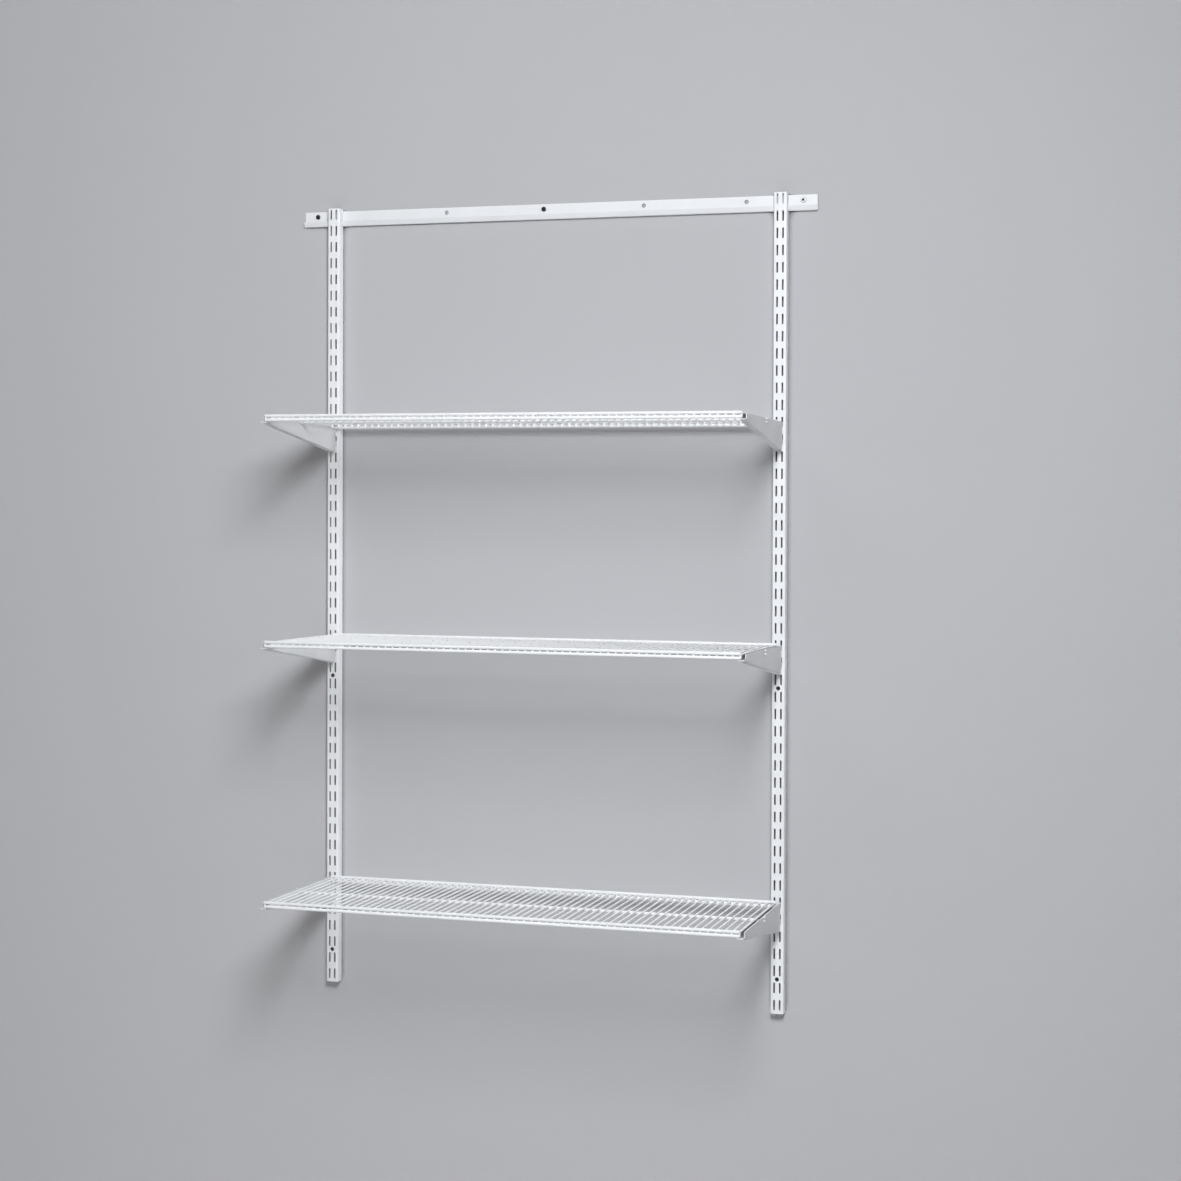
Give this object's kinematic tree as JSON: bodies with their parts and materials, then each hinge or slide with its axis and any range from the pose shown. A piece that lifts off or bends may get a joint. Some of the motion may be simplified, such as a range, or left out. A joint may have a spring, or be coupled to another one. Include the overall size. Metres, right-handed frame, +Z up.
{
  "type": "wall mounted closet system",
  "caption": "Wall mounted closet system: a screwed hang rail carries slotted uprights, and click-in brackets on them hold open wire shelves for clothes and boxes.",
  "frame": {"origin": "middle of the hang rail's back face, on the wall plane", "axes": "+X along the rail to the right as seen from the room, +Y into the wall, +Z up; the room is on the -Y side"},
  "size_m": [1.035, 0.3691, 1.5323],
  "materials": {
    "white_coat": "white powder coat, satin",
    "wire_coat": "white epoxy coat on wire, satin",
    "white_screw": "white painted head",
    "dark_screw": "dark oxide"
  },
  "bodies": {
    "rail": {"hang_rail": "white_coat", "rail_screw_left": "dark_screw", "rail_screw_middle": "dark_screw", "rail_screw_right": "white_screw"},
    "left_upright": {"left_upright": "white_coat"},
    "right_upright": {"right_upright": "white_coat"},
    "top_left_bracket": {"top_left_bracket": "white_coat"},
    "top_right_bracket": {"top_right_bracket": "white_coat"},
    "top_shelf": {"top_shelf": "wire_coat"},
    "middle_left_bracket": {"middle_left_bracket": "white_coat"},
    "middle_right_bracket": {"middle_right_bracket": "white_coat"},
    "middle_shelf": {"middle_shelf": "wire_coat"},
    "bottom_left_bracket": {"bottom_left_bracket": "white_coat"},
    "bottom_right_bracket": {"bottom_right_bracket": "white_coat"},
    "bottom_shelf": {"bottom_shelf": "wire_coat"}
  },
  "joints": [
    {"name": "left_upright_slide", "type": "slide", "parent": "rail", "child": "left_upright", "axis": [1, 0, 0], "range_m": [-0.02, 0.02]},
    {"name": "right_upright_slide", "type": "slide", "parent": "rail", "child": "right_upright", "axis": [1, 0, 0], "range_m": [-0.02, 0.02]},
    {"name": "top_left_bracket_lift", "type": "slide", "parent": "left_upright", "child": "top_left_bracket", "axis": [0, 0, 1], "range_m": [0, 0.008]},
    {"name": "top_right_bracket_lift", "type": "slide", "parent": "right_upright", "child": "top_right_bracket", "axis": [0, 0, 1], "range_m": [0, 0.008]},
    {"name": "top_shelf_lift", "type": "slide", "parent": "top_left_bracket", "child": "top_shelf", "axis": [0, 0, 1], "range_m": [0, 0.04]},
    {"name": "middle_left_bracket_lift", "type": "slide", "parent": "left_upright", "child": "middle_left_bracket", "axis": [0, 0, 1], "range_m": [0, 0.008]},
    {"name": "middle_right_bracket_lift", "type": "slide", "parent": "right_upright", "child": "middle_right_bracket", "axis": [0, 0, 1], "range_m": [0, 0.008]},
    {"name": "middle_shelf_lift", "type": "slide", "parent": "middle_left_bracket", "child": "middle_shelf", "axis": [0, 0, 1], "range_m": [0, 0.04]},
    {"name": "bottom_left_bracket_lift", "type": "slide", "parent": "left_upright", "child": "bottom_left_bracket", "axis": [0, 0, 1], "range_m": [0, 0.008]},
    {"name": "bottom_right_bracket_lift", "type": "slide", "parent": "right_upright", "child": "bottom_right_bracket", "axis": [0, 0, 1], "range_m": [0, 0.008]},
    {"name": "bottom_shelf_lift", "type": "slide", "parent": "bottom_left_bracket", "child": "bottom_shelf", "axis": [0, 0, 1], "range_m": [0, 0.04]}
  ],
  "couplings": [
    {"joint": "right_upright_slide", "follows": "left_upright_slide", "ratio": 1},
    {"joint": "top_right_bracket_lift", "follows": "top_left_bracket_lift", "ratio": 1},
    {"joint": "middle_right_bracket_lift", "follows": "middle_left_bracket_lift", "ratio": 1},
    {"joint": "bottom_right_bracket_lift", "follows": "bottom_left_bracket_lift", "ratio": 1}
  ]
}
